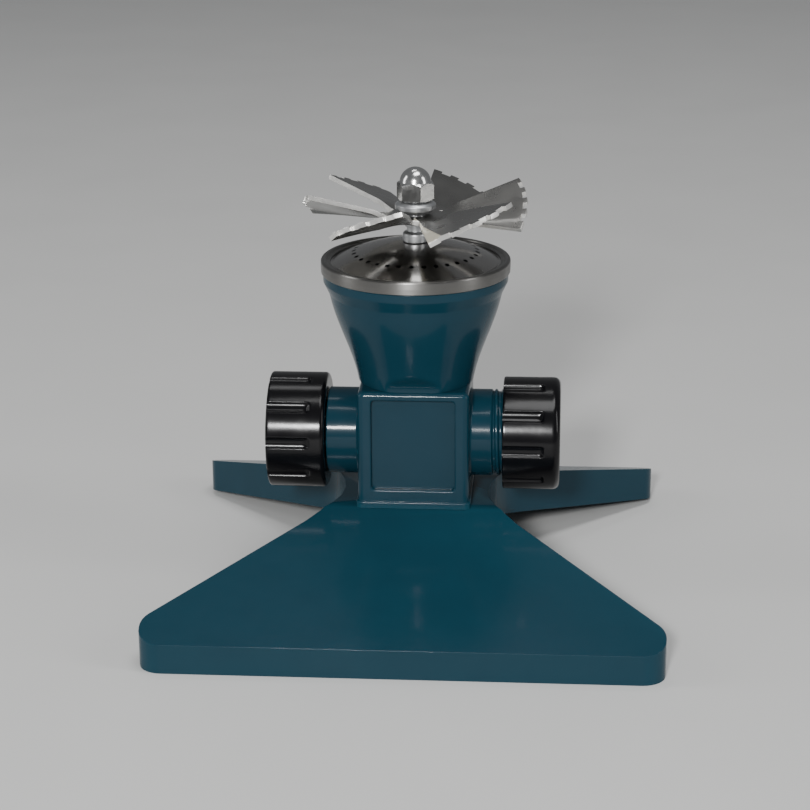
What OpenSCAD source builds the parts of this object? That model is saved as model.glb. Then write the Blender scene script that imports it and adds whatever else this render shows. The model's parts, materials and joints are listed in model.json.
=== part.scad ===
// Revolving lawn sprinkler: a sled base, a cast water manifold with a funnel head,
// a perforated spray dome and a propeller rotor that the spray drives round.
// Origin: centre of the footprint, on the ground. +X is the outlet side, -Y the front.

/* [Base] */
// Width of the base, left to right
base_w = 152; // [148:1:160]
// Length of the base, front to back
base_l = 156; // [150:1:170]
// Height of the seat that carries the manifold
seat_z = 29; // [28:0.5:30]
// Height of the front and rear edges
base_edge_h = 9; // [7:0.5:11]
// Height of the arch under the middle
arch_h = 14.5; // [12:0.5:16]
// Thickness of the cast walls
base_wall = 3.5; // [3:0.5:4]
// Half angle of each side notch
notch_angle = 45; // [43:1:47]
// Distance of each notch's sharp apex from the middle
notch_x = 8.8; // [8:0.1:11]

/* [Manifold] */
// Side of the square block
block_w = 34; // [33:0.5:35]
// Height of the block's top
block_top = 66; // [65:0.5:67]
// Height of the waterway's axis
port_z = 48.3; // [47:0.1:50]
// Radius of both necks
neck_r = 13.4; // [13.2:0.1:13.5]
// Radius of the waterway
water_r = 7; // [6:0.5:7]
// Depth of the recessed panels
panel_depth = 2; // [1:0.5:3]

/* [Hose thread] */
// Major radius of the 3/4 inch garden hose thread
thread_r = 13.45; // [13.4:0.01:13.5]
// Pitch of the thread (11.5 turns per inch)
thread_pitch = 2.209; // [2.2:0.001:2.22]
// Depth of the thread
thread_depth = 1.1; // [0.8:0.1:1.2]

/* [Funnel head] */
// Height of the lip's upper face
lip_z = 99.9; // [99:0.1:101]
// Radius of the lip
lip_r = 28.2; // [28:0.1:28.4]
// Radius of the rim band
rim_r = 28.85; // [28.7:0.05:29]
// Radius of the dome's sphere
dome_sphere_r = 55.3; // [54:0.1:58]
// Height of the dome's top
dome_top = 109.2; // [109:0.1:109.4]
// Number of spray holes
spray_holes = 32; // [24:1:40]
// Radius of the ring of spray holes
spray_ring_r = 18.8; // [17:0.1:20]
// Diameter of a spray hole
spray_hole_d = 1.3; // [1:0.1:1.6]

/* [Rotor] */
// Number of blades
blades = 6; // [6:1:6]
// Radius of the blade tips
rotor_r = 34.6; // [33:0.1:37]
// Direction of the first blade from +X
rotor_phase = -57; // [-60:1:0]
// Angle that one blade covers
blade_span = 43; // [38:1:46]
// Twist of a blade about its own length
blade_pitch = 21.5; // [15:0.5:24]
// Rise of a blade towards its tip
blade_rise = 9.5; // [4:0.5:10]
// Thickness of the blade sheet
sheet_t = 1.5; // [1:0.1:1.5]
// Teeth along each blade's edge
blade_teeth = 5; // [4:1:6]
// Depth of the notches between teeth
tooth_depth = 1.2; // [0.8:0.1:1.6]

/* [Couplings] */
// Outer radius of the swivel nut
swivel_r = 17.9; // [17.5:0.1:18.5]
// Outer radius of the outlet cap
cap_r = 17.4; // [17:0.1:18]
// Number of grip flutes
flutes = 10; // [8:1:12]
// Width of a grip flute
flute_w = 3.3; // [3:0.1:3.5]
// Depth of a grip flute
flute_depth = 1; // [0.6:0.1:1.2]
// Turn of the swivel nut's first flute from the top
swivel_flute_turn = 85.3; // [0:0.1:90]
// Turn of the cap's first flute from the top
cap_flute_turn = 55; // [0:0.1:90]

/* [Hidden] */
$fn = 96;
teal = [0.08, 0.23, 0.30];
black = [0.06, 0.06, 0.065];
steel = [0.72, 0.72, 0.70];
chrome = [0.82, 0.82, 0.80];
rubber = [0.10, 0.10, 0.10];

fit = 0.06;         // running clearance on a radius
gap = 0.3;          // clearance between faces that move past each other
loose = 0.1;        // clearance on a radius between pieces that stay still

base_corner_r = 7;
notch_corner_r = 7;
notch_apex_r = 33;
foot_len = 4;
rib_t = 2.5;
boss_t = 5;
boss_z = seat_z - boss_t;
screw_xy = 10;
screw_r = 2.4;
screw_head_r = 4.4;
screw_washer_t = 1.2;

inlet_face = -27;       // end of the left neck
stub_r = 9;             // tube that the swivel nut turns on
stub_end = -33;
ring_x = -32.2;         // outer side of the retaining ring's groove
swivel_end = -45.2;
swivel_start = inlet_face - gap;
web_t = 3.3;            // the nut's inner web
washer_seat = swivel_start - web_t;
hose_bore_r = 13.6;
washer_x = stub_end - gap;
washer_t = 3;
outlet_end = 39.3;
thread_start = 23.4;
cap_start = 27.1;
cap_end = 44.7;
cap_wall = 3;
cap_bore_r = thread_r + gap;
swivel_flute_len = 13.1;
cap_flute_len = 12.5;

funnel_z0 = 65;
funnel_z1 = 95;
funnel_r0 = 17.6;
funnel_r1 = 26.6;
funnel_wall = 3;
spigot_r = 27.1;
spigot_bore_r = 24.2;
spigot_z = lip_z + 1.2;
gasket_t = 0.8;
flange_z = spigot_z + gasket_t;
dome_sheet = 1;
rim_top = 104;

spindle_r = 2;
spindle_bottom = 99.5;
spindle_top = 129.3;
nut_z = 121.6;          // underside of the acorn nut
nut_flats = 10;
nut_phase = 20;         // turns one corner just right of the front
nut_top = 132;
collar_top = 113.9;
thrust_top = 114.7;
bush_z = thrust_top + gap;
hub_z = bush_z + 1;
hub_r = 10;
hub_bore_r = 3.2;
blade_root_r = 8.6;
// Hand cutting and bending make the blades differ: less rise, more turn and a wider span, in degrees
blade_droops = [0.3, 0, 5, 2.5, 0, 0];
blade_turns = [2.7, 0, 0, 2, 0, 3.5];
blade_extras = [8, 0, 0, 0, 0, 0];
top_washer_z = 118.2;

function unit(v) = v / norm(v);

// Points of the arc that rounds corner b between its neighbours a and c
function corner_arc(a, b, c, r, steps = 8) =
    let (u = unit(a - b), w = unit(c - b), half = acos(u * w) / 2,
         centre = b + unit(u + w) * r / sin(half),
         p = b + u * r / tan(half) - centre,
         q = b + w * r / tan(half) - centre,
         from = atan2(p.y, p.x),
         turn = (atan2(q.y, q.x) - from + 540) % 360 - 180)
    [for (i = [0 : steps]) centre + r * [cos(from + turn * i / steps), sin(from + turn * i / steps)]];

// Outline through the corner points, each rounded by its own radius
function rounded(points, radii) =
    let (n = len(points))
    [for (i = [0 : n - 1])
        each corner_arc(points[(i + n - 1) % n], points[i], points[(i + 1) % n], radii[i])];

// Bow-tie outline of the base, moved inwards by inset
function base_outline(inset) =
    let (w = base_w / 2 - inset, l = base_l / 2 - inset,
         apex = notch_x - inset / sin(notch_angle),
         y = (w - apex) * tan(notch_angle),
         corner = base_corner_r - inset, side = notch_corner_r - inset,
         deep = notch_apex_r + inset)
    rounded([[-w, -l], [w, -l], [w, -y], [apex, 0], [w, y],
             [w, l], [-w, l], [-w, y], [-apex, 0], [-w, -y]],
            [corner, corner, side, deep, side, corner, corner, side, deep, side]);

function mirrored(points) =
    concat(points, [for (i = [len(points) - 1 : -1 : 0]) [-points[i].x, points[i].y]]);

// Outer radius of the funnel at height z: half straight cone, half S-curve
function funnel_r(z) =
    let (t = (z - funnel_z0) / (funnel_z1 - funnel_z0))
    funnel_r0 + (funnel_r1 - funnel_r0) * (t / 2 + (1 - cos(180 * t)) / 4);

// Cylinder along +X from x0 to x1 on the waterway's axis
module along_x(x0, x1, r, r2 = -1) {
    translate([x0, 0, port_z])
        rotate([0, 90, 0])
            cylinder(h = x1 - x0, r1 = r, r2 = r2 < 0 ? r : r2);
}

module tube_x(x0, x1, r, bore) {
    difference() {
        along_x(x0, x1, r);
        along_x(x0 - 1, x1 + 1, bore);
    }
}

module ring(z0, z1, r, bore) {
    translate([0, 0, z0])
        difference() {
            cylinder(h = z1 - z0, r = r);
            translate([0, 0, -1])
                cylinder(h = z1 - z0 + 2, r = bore);
        }
}

module at_screws() {
    for (x = [-1, 1], y = [-1, 1])
        translate([x * screw_xy, y * screw_xy, 0])
            children();
}

// Side profile (Y, Z) drawn across the whole width
module across(points) {
    rotate([90, 0, 90])
        translate([0, 0, -base_w])
            linear_extrude(height = 2 * base_w)
                polygon(points);
}

module base_casting() {
    half = base_l / 2;
    seat = block_w / 2;
    slope = (seat_z - base_edge_h) / (half - seat);
    edge_z = base_edge_h - slope;       // height of the top slope 1 mm past the edge
    color(teal)
        difference() {
            intersection() {
                linear_extrude(height = seat_z + 1)
                    polygon(base_outline(0));
                across(mirrored([[half + 1, -1], [half + 1, edge_z], [seat, seat_z]]));
                across(mirrored([[seat, arch_h], [half - foot_len, 0], [half + 1, 0],
                                 [half + 1, seat_z + 2]]));
            }
            difference() {
                translate([0, 0, -1])
                    linear_extrude(height = seat_z + 1)
                        polygon(base_outline(base_wall));
                across(mirrored([[seat, seat_z - base_wall], [half + 1, edge_z - base_wall],
                                 [half + 1, seat_z + 2]]));
                translate([-seat, -seat, boss_z])
                    cube([block_w, block_w, boss_t]);
                translate([-rib_t / 2, -half, -2])
                    cube([rib_t, base_l, seat_z]);
            }
            at_screws()
                translate([0, 0, boss_z - 1])
                    cylinder(h = boss_t + 2, r = screw_r + gap);
        }
}

module base_screws() {
    head_h = 3;
    head_z = boss_z - screw_washer_t - head_h;
    color(steel)
        at_screws()
            difference() {
                union() {
                    translate([0, 0, head_z])
                        cylinder(h = head_h, r = screw_head_r);
                    translate([0, 0, head_z + 1])
                        cylinder(h = 17, r = screw_r);
                }
                for (a = [0, 90])
                    rotate(a)
                        translate([-2.6, -0.5, head_z - 1])
                            cube([5.2, 1, 2.8]);
            }
}

module screw_washers() {
    color(steel)
        at_screws()
            ring(boss_z - screw_washer_t, boss_z, screw_head_r, screw_r + gap);
}

// Waterway, valve-free: one passage along X and one up into the funnel
module waterway() {
    along_x(stub_end - 1, block_w / 2, water_r);
    along_x(0, outlet_end + 1, neck_r - 4);
    translate([0, 0, port_z])
        rotate_extrude()
            polygon(concat(
                [[0, 0], [9.5, 0], [9.5, 11]],
                [for (z = [block_top + 2 : 3 : funnel_z1]) [funnel_r(z) - funnel_wall, z - port_z]],
                [[spigot_bore_r, lip_z - 2 - port_z], [spigot_bore_r, spigot_z + 1 - port_z],
                 [0, spigot_z + 1 - port_z]]));
}

// Hose thread as rings: each turn is one ridge
module outlet_thread() {
    root = thread_r - thread_depth;
    turns = floor((outlet_end - thread_start) / thread_pitch);
    crest = thread_pitch / 8;
    flank = thread_pitch * 3 / 8;
    translate([thread_start, 0, port_z])
        rotate([0, 90, 0])
            rotate_extrude()
                polygon(concat(
                    [[0, -0.5], [root, -0.5]],
                    [for (i = [0 : turns - 1])
                        let (x = i * thread_pitch)
                        each [[root, x + crest], [thread_r, x + crest + flank],
                              [thread_r, x + 2 * crest + flank], [root, x + 2 * crest + 2 * flank]]],
                    [[root, outlet_end - thread_start], [0, outlet_end - thread_start]]));
}

module body_casting() {
    seat = block_w / 2;
    panel_w = 25.5;
    panel_z = 34.8;
    panel_top = block_top - 2.6;
    foot_step = 0.6;                    // the block's foot stands this far proud
    foot_h = 2;
    corners = [[-1, -1], [1, -1], [1, 1], [-1, 1]];
    color(teal)
        difference() {
            union() {
                translate([0, 0, seat_z])
                    linear_extrude(height = block_top - seat_z)
                        polygon(rounded(seat * corners, [2, 2, 2, 2]));
                translate([0, 0, seat_z])
                    linear_extrude(height = foot_h)
                        polygon(rounded((seat + foot_step) * corners, [2.6, 2.6, 2.6, 2.6]));
                rotate_extrude()
                    polygon(concat(
                        [[0, funnel_z0 - 2], [funnel_r0 - 0.2, funnel_z0 - 2]],
                        [for (z = [funnel_z0 : 3 : funnel_z1]) [funnel_r(z), z]],
                        [[lip_r, funnel_z1 + 2.2], [lip_r, lip_z], [spigot_r, lip_z],
                         [spigot_r, spigot_z], [0, spigot_z]]));
                along_x(inlet_face, thread_start, neck_r);
                along_x(-seat - 0.6, seat + 0.6, neck_r + 0.6);
                along_x(stub_end, 0, stub_r);
                outlet_thread();
            }
            for (side = [-1, 1])
                translate([-panel_w / 2, side * seat - panel_depth, panel_z])
                    cube([panel_w, 2 * panel_depth, panel_top - panel_z]);
            waterway();
            tube_x(ring_x, ring_x + 1.2, stub_r + 1, stub_r - 1);
            at_screws()
                translate([0, 0, seat_z - 1])
                    cylinder(h = 10, r = screw_r + loose);
        }
}

module dome_gasket() {
    color(rubber)
        ring(spigot_z, flange_z, spigot_r - 0.2, spigot_bore_r + 0.2);
}

module spray_dome() {
    centre_z = dome_top - dome_sphere_r;
    edge_r = 25.5;
    flange_r = spigot_r - 0.2;
    hole_tilt = asin(spray_ring_r / dome_sphere_r);
    color(steel)
        difference() {
            union() {
                intersection() {
                    translate([0, 0, centre_z])
                        difference() {
                            sphere(r = dome_sphere_r);
                            sphere(r = dome_sphere_r - dome_sheet);
                        }
                    translate([0, 0, flange_z])
                        cylinder(h = 20, r = edge_r);
                }
                ring(flange_z, flange_z + dome_sheet, flange_r, edge_r - 0.8);
            }
            for (i = [0 : spray_holes - 1])
                rotate(i * 360 / spray_holes)
                    translate([0, 0, centre_z])
                        rotate([0, hole_tilt, 0])
                            translate([0, 0, dome_sphere_r - 3])
                                cylinder(h = 6, d = spray_hole_d, $fn = 16);
            translate([0, 0, dome_top - 3])
                cylinder(h = 6, r = spindle_r + loose);
        }
}

module rim_band() {
    bore = spigot_r + loose;
    seat = flange_z + dome_sheet + 0.05;
    color(chrome)
        rotate_extrude()
            polygon([[bore, lip_z], [rim_r, lip_z], [rim_r, rim_top - 0.7],
                     [rim_r - 0.25, rim_top - 0.25], [rim_r - 0.7, rim_top],
                     [rim_r - 1.2, rim_top - 0.1], [rim_r - 1.6, rim_top - 0.5],
                     [25.9, seat + 0.4], [25.9, seat], [bore, seat]]);
}

module spindle() {
    color(steel)
        translate([0, 0, spindle_bottom])
            cylinder(h = spindle_top - spindle_bottom, r = spindle_r);
}

// Stack under the dome: rubber seal, steel washer, hexagon nut
module spindle_seal() {
    color(rubber)
        ring(dome_top - 3, dome_top - 1.4, 5, spindle_r + loose);
}

module spindle_backing_washer() {
    color(steel)
        ring(dome_top - 4, dome_top - 3, 5, spindle_r + loose);
}

module spindle_lock_nut() {
    flats = 8;
    color(steel)
        difference() {
            translate([0, 0, dome_top - 8])
                cylinder(h = 4, r = flats / 2 / cos(30), $fn = 6);
            translate([0, 0, dome_top - 9])
                cylinder(h = 6, r = spindle_r + loose);
        }
}

module spindle_collar() {
    bore = spindle_r + loose;
    color(steel)
        rotate_extrude()
            polygon([[bore, dome_top], [3.7, dome_top], [3.9, dome_top + 0.2], [3.9, dome_top + 2.4],
                     [3.5, dome_top + 2.9], [2.6, dome_top + 3.1], [2.6, collar_top], [bore, collar_top]]);
}

module thrust_washer() {
    color(steel)
        ring(collar_top, thrust_top, 3.2, spindle_r + loose);
}

module top_washer() {
    bore = spindle_r + loose;
    r = 6.2;
    color(steel)
        rotate_extrude()
            polygon([[bore, top_washer_z], [r - 1.4, top_washer_z], [r, top_washer_z + 1.1],
                     [r, nut_z - 1], [r - 0.8, nut_z - 0.3], [r - 2.4, nut_z], [bore, nut_z]]);
}

module cap_nut() {
    hex_h = 6.2;
    corner_r = nut_flats / 2 / cos(30);
    dome_r = 4.8;
    color(chrome)
        difference() {
            union() {
                intersection() {
                    translate([0, 0, nut_z])
                        rotate(nut_phase - 30)
                            cylinder(h = hex_h, r = corner_r, $fn = 6);
                    rotate_extrude()
                        polygon([[0, nut_z - 1], [corner_r - 1.6, nut_z - 1], [corner_r + 0.9, nut_z + 1],
                                 [corner_r + 0.9, nut_z + hex_h - 1.1], [corner_r - 1, nut_z + hex_h],
                                 [0, nut_z + hex_h]]);
                }
                translate([0, 0, nut_z + 1])
                    cylinder(h = nut_top - dome_r - nut_z - 1, r = dome_r);
                translate([0, 0, nut_top - dome_r])
                    sphere(r = dome_r);
            }
            translate([0, 0, nut_z - 1])
                cylinder(h = spindle_top - nut_z + 1.3, r = spindle_r + loose);
        }
}

// Flat outline of one blade along +X, with square teeth along its outer edge
function blade_outline(span) =
    let (root_r = blade_root_r, half = span / 2, parts = 2 * blade_teeth - 1, step = span / parts)
    concat([[root_r * cos(half), root_r * sin(half)], [root_r * cos(half), -root_r * sin(half)]],
           [for (i = [0 : parts - 1])
               let (r = i % 2 == 0 ? rotor_r : rotor_r - tooth_depth, a = i * step - half)
               each [r * [cos(a), sin(a)], r * [cos(a + step), sin(a + step)]]]);

module rotor_blades() {
    color(steel)
        difference() {
            union() {
                translate([0, 0, hub_z])
                    cylinder(h = sheet_t, r = hub_r);
                for (i = [0 : blades - 1])
                    let (rise = blade_rise - blade_droops[i])
                    rotate(rotor_phase + blade_turns[i] + i * 360 / blades)
                        translate([0, 0, hub_z - blade_root_r * sin(rise)])
                            rotate([0, -rise, 0])
                                rotate([blade_pitch, 0, 0])
                                    linear_extrude(height = sheet_t)
                                        polygon(blade_outline(blade_span + blade_extras[i]));
            }
            translate([0, 0, hub_z - 8])
                cylinder(h = 20, r = hub_bore_r);
        }
}

module rotor_bush() {
    bore = spindle_r + fit;
    flange_r = 4;
    sleeve_r = hub_bore_r - 0.05;
    color(steel)
        rotate_extrude()
            polygon([[bore, bush_z], [flange_r, bush_z], [flange_r, hub_z - 0.05], [sleeve_r, hub_z - 0.05],
                     [sleeve_r, top_washer_z - gap], [bore, top_washer_z - gap]]);
}

// Grip flutes cut into a round coupling from its open end at x0 towards x1
module grip_flutes(x0, x1, r, turn) {
    towards = x1 > x0 ? 1 : -1;
    end = x1 - towards * flute_w / 2;
    low = min(x0 - towards * 2, end);
    length = abs(end - (x0 - towards * 2));
    translate([0, 0, port_z])
        for (i = [0 : flutes - 1])
            rotate([turn + i * 360 / flutes, 0, 0])
                translate([0, 0, r - flute_depth]) {
                    translate([low, -flute_w / 2, 0])
                        cube([length, flute_w, 4]);
                    translate([end, 0, 0])
                        cylinder(h = 4, d = flute_w, $fn = 32);
                }
}

module retaining_ring() {
    color(steel)
        difference() {
            tube_x(ring_x + 0.1, ring_x + 1.1, 11, stub_r - 0.9);
            translate([ring_x - 1, -1.2, port_z])
                cube([4, 2.4, 20]);
        }
}

module swivel_nut() {
    chamfer = 1;
    seat_end = washer_x - washer_t - 0.4;
    color(black)
        difference() {
            translate([swivel_end, 0, port_z])
                rotate([0, 90, 0])
                    rotate_extrude()
                        polygon([[0, 0], [swivel_r - 0.6, 0], [swivel_r, 0.6],
                                 [swivel_r, swivel_start - swivel_end - chamfer],
                                 [swivel_r - chamfer, swivel_start - swivel_end],
                                 [0, swivel_start - swivel_end]]);
            along_x(swivel_end - 1, washer_seat, hose_bore_r);
            along_x(seat_end, washer_seat, hose_bore_r + 0.6);
            along_x(swivel_end - 1, swivel_start + 1, stub_r + fit);
            grip_flutes(swivel_end, swivel_end + swivel_flute_len, swivel_r, swivel_flute_turn);
        }
}

module hose_washer() {
    screen_r = 9.6;
    mid = washer_x - washer_t / 2;
    color(rubber)
        difference() {
            tube_x(washer_x - washer_t, washer_x, hose_bore_r + 0.4, 8);
            along_x(mid - 0.4, mid + 0.4, screen_r);
        }
}

module filter_screen() {
    mid = washer_x - washer_t / 2;
    color(steel)
        difference() {
            along_x(mid - 0.3, mid + 0.3, 9.5);
            translate([mid - 1, 0, port_z])
                rotate([0, 90, 0])
                    for (row = [0 : 2], i = [0 : max(0, 6 * row - 1)])
                        rotate(row == 0 ? 0 : i * 60 / row)
                            translate([2.8 * row, 0, 0])
                                cylinder(h = 2, r = 0.9, $fn = 16);
        }
}

module outlet_cap() {
    length = cap_end - cap_start;
    color(black)
        difference() {
            translate([cap_start, 0, port_z])
                rotate([0, 90, 0])
                    rotate_extrude()
                        polygon([[0, 0], [cap_r - 0.4, 0], [cap_r, 0.4], [cap_r, length - 2],
                                 [cap_r - 0.6, length - 0.6], [cap_r - 2, length], [0, length]]);
            along_x(cap_start - 1, cap_end - cap_wall, cap_bore_r);
            grip_flutes(cap_start, cap_start + cap_flute_len, cap_r, cap_flute_turn);
        }
}

module cap_washer() {
    color(rubber)
        tube_x(outlet_end + gap, cap_end - cap_wall - 0.05, cap_bore_r - gap, 5);
}

base_casting();
base_screws();
screw_washers();
body_casting();
dome_gasket();
spray_dome();
rim_band();
spindle();
spindle_lock_nut();
spindle_backing_washer();
spindle_seal();
spindle_collar();
thrust_washer();
top_washer();
cap_nut();
rotor_blades();
rotor_bush();
retaining_ring();
swivel_nut();
hose_washer();
filter_screen();
outlet_cap();
cap_washer();
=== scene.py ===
"""The looks of the revolving sprinkler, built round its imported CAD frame."""
import json
import math

import bmesh
import bpy
from mathutils import Matrix, Vector

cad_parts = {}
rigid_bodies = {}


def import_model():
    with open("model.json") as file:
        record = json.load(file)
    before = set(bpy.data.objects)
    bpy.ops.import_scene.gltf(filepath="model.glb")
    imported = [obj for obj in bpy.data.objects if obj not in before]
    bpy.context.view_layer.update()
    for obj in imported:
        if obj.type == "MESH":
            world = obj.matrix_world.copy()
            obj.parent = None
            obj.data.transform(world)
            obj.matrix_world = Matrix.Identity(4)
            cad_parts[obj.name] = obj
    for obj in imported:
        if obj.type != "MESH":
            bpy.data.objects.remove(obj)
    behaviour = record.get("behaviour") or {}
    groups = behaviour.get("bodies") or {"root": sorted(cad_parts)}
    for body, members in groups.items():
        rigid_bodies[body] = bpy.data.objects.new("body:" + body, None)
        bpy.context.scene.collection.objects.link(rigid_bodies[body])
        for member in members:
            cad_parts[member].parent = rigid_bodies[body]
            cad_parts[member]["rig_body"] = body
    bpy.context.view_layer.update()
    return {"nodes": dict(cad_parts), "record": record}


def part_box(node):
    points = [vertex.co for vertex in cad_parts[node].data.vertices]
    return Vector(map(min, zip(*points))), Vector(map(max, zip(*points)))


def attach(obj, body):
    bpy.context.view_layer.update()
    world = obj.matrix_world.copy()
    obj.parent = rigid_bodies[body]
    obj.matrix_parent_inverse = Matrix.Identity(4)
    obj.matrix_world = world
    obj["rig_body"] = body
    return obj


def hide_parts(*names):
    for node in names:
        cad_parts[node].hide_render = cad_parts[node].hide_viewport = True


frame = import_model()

MM = 0.001
WELD = 0.002 * MM  # points closer than this are one point
NODES = frame["nodes"]

# Places and sizes that the CAD gives, in millimetres


def low(node):
    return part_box(node)[0] / MM


def high(node):
    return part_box(node)[1] / MM


INLET = low("swivel_nut"), high("swivel_nut")
CAP = low("outlet_cap"), high("outlet_cap")
PORT_Z = (INLET[0].z + INLET[1].z) / 2
MOUNTS = {m["name"]: m for m in frame["record"]["mounts"]}
HOSE_BORE_R = MOUNTS["hose_inlet"]["dims"]["r_mm"]
HOSE_BORE_LEN = MOUNTS["hose_inlet"]["dims"]["length_mm"]
THREAD_R = MOUNTS["hose_outlet"]["dims"]["r_mm"]
OUTLET_END = MOUNTS["hose_outlet"]["pos_m"][0] / MM
THREAD_START = OUTLET_END - MOUNTS["hose_outlet"]["dims"]["length_mm"]
THREAD_PITCH = 25.4 / 11.5
SEAT_Z = low("body_casting").z
LIP_R = high("body_casting").y
BAND = low("rim_band"), high("rim_band")
RIM_R = BAND[1].x
DOME_TOP = low("spindle_collar").z
NUT = low("cap_nut"), high("cap_nut")
SPINDLE_BORE = high("spindle").x + 0.1  # what turns on the spindle clears it by this much

# ---------------------------------------------------------------- mesh helpers


def new_piece(name, verts, faces):
    """A mesh object from points in millimetres."""
    mesh = bpy.data.meshes.new(name)
    mesh.from_pydata([Vector(v) * MM for v in verts], [], faces)
    mesh.validate()
    obj = bpy.data.objects.new(name, mesh)
    bpy.context.scene.collection.objects.link(obj)
    return obj


def clean(obj):
    """Makes the normals point outwards and joins doubled points."""
    bm = bmesh.new()
    bm.from_mesh(obj.data)
    bmesh.ops.remove_doubles(bm, verts=bm.verts, dist=WELD)
    bmesh.ops.recalc_face_normals(bm, faces=bm.faces)
    bm.to_mesh(obj.data)
    bm.free()
    return obj


def apply_modifiers(obj):
    deps = bpy.context.evaluated_depsgraph_get()
    mesh = bpy.data.meshes.new_from_object(obj.evaluated_get(deps))
    obj.modifiers.clear()
    obj.data = mesh
    return obj


def smooth(obj, angle):
    """Smooth shading that keeps flat faces flat and edges over the angle sharp."""
    for face in obj.data.polygons:
        face.use_smooth = True
    obj.data.set_sharp_from_angle(angle=math.radians(angle))
    weighted = obj.modifiers.new("weighted", "WEIGHTED_NORMAL")
    weighted.keep_sharp = True
    weighted.weight = 80


def bevel(obj, width, segments, angle=28):
    """Rounds the edges sharper than the angle."""
    mod = obj.modifiers.new("round", "BEVEL")
    mod.width = width * MM
    mod.segments = segments
    mod.limit_method = "ANGLE"
    mod.angle_limit = math.radians(angle)
    mod.use_clamp_overlap = True
    mod.miter_outer = "MITER_ARC"
    return apply_modifiers(obj)


def boolean(obj, other, operation):
    """Joins obj with other or cuts it by other, which is used up."""
    mod = obj.modifiers.new("cut", "BOOLEAN")
    mod.operation = operation
    mod.solver = "MANIFOLD"
    mod.object = other
    apply_modifiers(obj)
    bpy.data.objects.remove(other)


def make_flats_whole(mesh):
    """Joins the triangles of each flat face, so that it shades as one."""
    flat = math.radians(0.6)
    bm = bmesh.new()
    bm.from_mesh(mesh)
    bmesh.ops.remove_doubles(bm, verts=bm.verts, dist=WELD)
    bmesh.ops.dissolve_limit(bm, angle_limit=flat, verts=bm.verts, edges=bm.edges)
    bm.to_mesh(mesh)
    bm.free()


def rounded_copy(node, name, width, segments):
    """A copy of a CAD node's mesh, with its flat faces made whole and its sharp edges rounded."""
    mesh = NODES[node].data.copy()
    obj = bpy.data.objects.new(name, mesh)
    bpy.context.scene.collection.objects.link(obj)
    make_flats_whole(mesh)
    mesh.materials.clear()
    return bevel(obj, width, segments)


def unit(v):
    return v / v.length


def rounded_profile(corners, steps):
    """Points along a profile. Each corner is (r, h) or (r, h, rounding)."""
    points = []
    count = len(corners)
    for i, corner in enumerate(corners):
        b = Vector(corner[:2])
        r = corner[2] if len(corner) > 2 else 0
        if not r:
            points.append(tuple(b))
            continue
        a = Vector(corners[i - 1][:2])
        c = Vector(corners[(i + 1) % count][:2])
        u, w = unit(a - b), unit(c - b)
        half = u.angle(w) / 2
        centre = b + unit(u + w) * (r / math.sin(half))
        p = b + u * (r / math.tan(half)) - centre
        q = b + w * (r / math.tan(half)) - centre
        start = math.atan2(p.y, p.x)
        turn = (math.atan2(q.y, q.x) - start + 3 * math.pi) % (2 * math.pi) - math.pi
        for k in range(steps + 1):
            t = start + turn * k / steps
            points.append((centre.x + r * math.cos(t), centre.y + r * math.sin(t)))
    return points


def divided(points, step):
    """The same open profile with no stretch longer than step."""
    out = []
    for start, end in zip(points, points[1:]):
        a, b = Vector(start), Vector(end)
        parts = max(1, math.ceil((b - a).length / step))
        out += [tuple(a.lerp(b, k / parts)) for k in range(parts)]
    return out + [tuple(points[-1])]


def even_angles(count):
    return [2 * math.pi * i / count for i in range(count)]


def quarter_turn(parts):
    """Angles from 0 to 90 degrees."""
    return [math.pi / 2 * k / parts for k in range(parts + 1)]


def turned(name, profile, angles=None, closed=True, axis="z", shape=None):
    """Turns a profile of (r, h) points round the axis. shape(r, h, angle) may change r.

    An open profile starts and ends on the axis, so it closes there."""
    angles = angles or even_angles(128)
    verts, faces, rings = [], [], []
    for r, h in profile:
        if r < 1e-6:
            rings.append([len(verts)])
            verts.append((0, 0, h))
            continue
        rings.append(list(range(len(verts), len(verts) + len(angles))))
        for a in angles:
            radius = shape(r, h, a) if shape else r
            verts.append((radius * math.cos(a), radius * math.sin(a), h))
    pairs = list(zip(rings, rings[1:])) + ([(rings[-1], rings[0])] if closed else [])
    count = len(angles)
    for lower, upper in pairs:
        for i in range(count):
            j = (i + 1) % count
            if len(lower) == 1 and len(upper) == 1:
                continue
            if len(lower) == 1:
                faces.append((lower[0], upper[j], upper[i]))
            elif len(upper) == 1:
                faces.append((lower[i], lower[j], upper[0]))
            else:
                faces.append((lower[i], lower[j], upper[j], upper[i]))
    if axis == "x":
        # angle 0 faces the front and 90 degrees faces up
        verts = [(h, -across, up + PORT_Z) for across, up, h in verts]
    return clean(new_piece(name, verts, faces))


def step_between(t, a, b):
    """0 below a, 1 above b, smooth between them."""
    t = min(1, max(0, (t - a) / (b - a)))
    return t * t * (3 - 2 * t)


# ---------------------------------------------------------------- materials


def new_material(name, color, roughness, metallic=0.0):
    """A principled material and a small kit for wiring its pattern nodes."""
    mat = bpy.data.materials.new(name)
    mat.use_nodes = True
    shader = mat.node_tree.nodes["Principled BSDF"]
    shader.inputs["Base Color"].default_value = (*color, 1)
    shader.inputs["Roughness"].default_value = roughness
    shader.inputs["Metallic"].default_value = metallic
    return mat, Wires(mat.node_tree, shader)


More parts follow.
